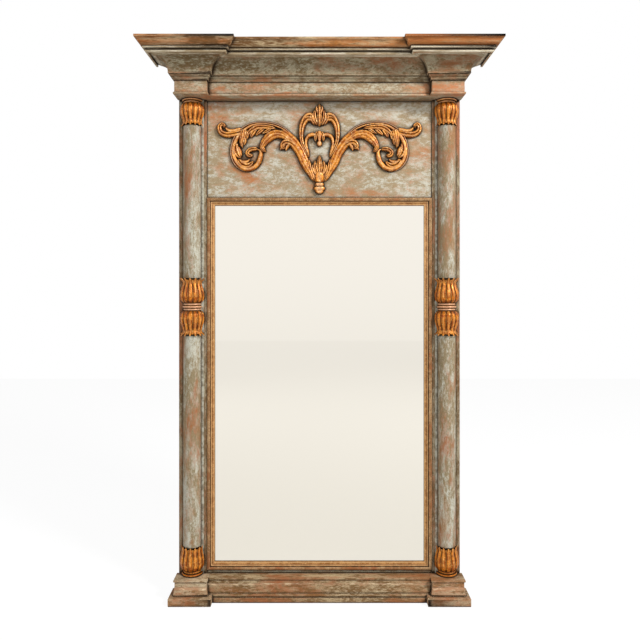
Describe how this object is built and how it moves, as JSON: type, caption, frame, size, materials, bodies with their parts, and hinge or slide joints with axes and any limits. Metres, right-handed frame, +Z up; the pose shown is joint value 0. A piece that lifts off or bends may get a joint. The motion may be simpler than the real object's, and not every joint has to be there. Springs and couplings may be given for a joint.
{
  "type": "trumeau mirror",
  "caption": "Tall wall mirror with half-round columns, gilt lotus capitals, a breakfront cornice and a carved scroll ornament on its frieze.",
  "frame": {"origin": "centre of the header's back face, where the mirror touches the wall", "axes": "+Z up, +Y towards the wall, +X to the viewer's right"},
  "size_m": [0.958, 0.167, 1.52],
  "materials": {
    "painted_wood": "distressed grey-blue paint rubbed back to a terracotta ground",
    "gilt_wood": "antiqued leaf gilding over red bole, umber in the recesses",
    "bare_wood": "plain unfinished pine",
    "mirror_glass": "silvered plate glass",
    "steel": "zinc-plated steel"
  },
  "bodies": {
    "root": {"back_board": "bare_wood", "back_board_screws": "steel", "base_board": "painted_wood", "base_cap": "painted_wood", "bed_mould_center": "painted_wood", "bed_mould_left": "painted_wood", "bed_mould_right": "painted_wood", "bottom_rail": "painted_wood", "capital_left": "gilt_wood", "capital_right": "gilt_wood", "column_base_left": "gilt_wood", "column_base_right": "gilt_wood", "column_collar_left": "gilt_wood", "column_collar_right": "gilt_wood", "column_shaft_lower_left": "painted_wood", "column_shaft_lower_right": "painted_wood", "column_shaft_upper_left": "painted_wood", "column_shaft_upper_right": "painted_wood", "cove_mould_center": "painted_wood", "cove_mould_left": "painted_wood", "cove_mould_right": "painted_wood", "crown_mould_center": "painted_wood", "crown_mould_left": "painted_wood", "crown_mould_right": "painted_wood", "dust_board": "bare_wood", "entablature_core_center": "painted_wood", "entablature_core_left": "painted_wood", "entablature_core_right": "painted_wood", "foot_mould_center": "painted_wood", "foot_mould_left": "painted_wood", "foot_mould_right": "painted_wood", "frieze_panel": "painted_wood", "gilt_slip_bottom": "gilt_wood", "gilt_slip_left": "gilt_wood", "gilt_slip_right": "gilt_wood", "gilt_slip_top": "gilt_wood", "glass_glue_blocks": "bare_wood", "hanger_screws": "steel", "hanger_strap_left": "steel", "hanger_strap_right": "steel", "header": "painted_wood", "mid_rail": "bare_wood", "mirror_plate": "mirror_glass", "ornament_cartouche": "gilt_wood", "ornament_scroll_left": "gilt_wood", "ornament_scroll_right": "gilt_wood", "plinth_block_left": "painted_wood", "plinth_block_right": "painted_wood", "plinth_cap_left": "painted_wood", "plinth_cap_right": "painted_wood", "sight_moulding_bottom": "painted_wood", "sight_moulding_left": "painted_wood", "sight_moulding_right": "painted_wood", "sight_moulding_top": "painted_wood", "stile_left": "painted_wood", "stile_right": "painted_wood"},
    "ring_left": {"hanger_ring_left": "steel"},
    "ring_right": {"hanger_ring_right": "steel"}
  },
  "joints": [
    {"name": "ring_left_swing", "type": "hinge", "parent": "root", "child": "ring_left", "pos_m": [-0.356, -0.0046, -0.186], "axis": [1, 0, 0], "range_deg": [0, 175]},
    {"name": "ring_right_swing", "type": "hinge", "parent": "root", "child": "ring_right", "pos_m": [0.356, -0.0046, -0.186], "axis": [1, 0, 0], "range_deg": [0, 175]}
  ]
}
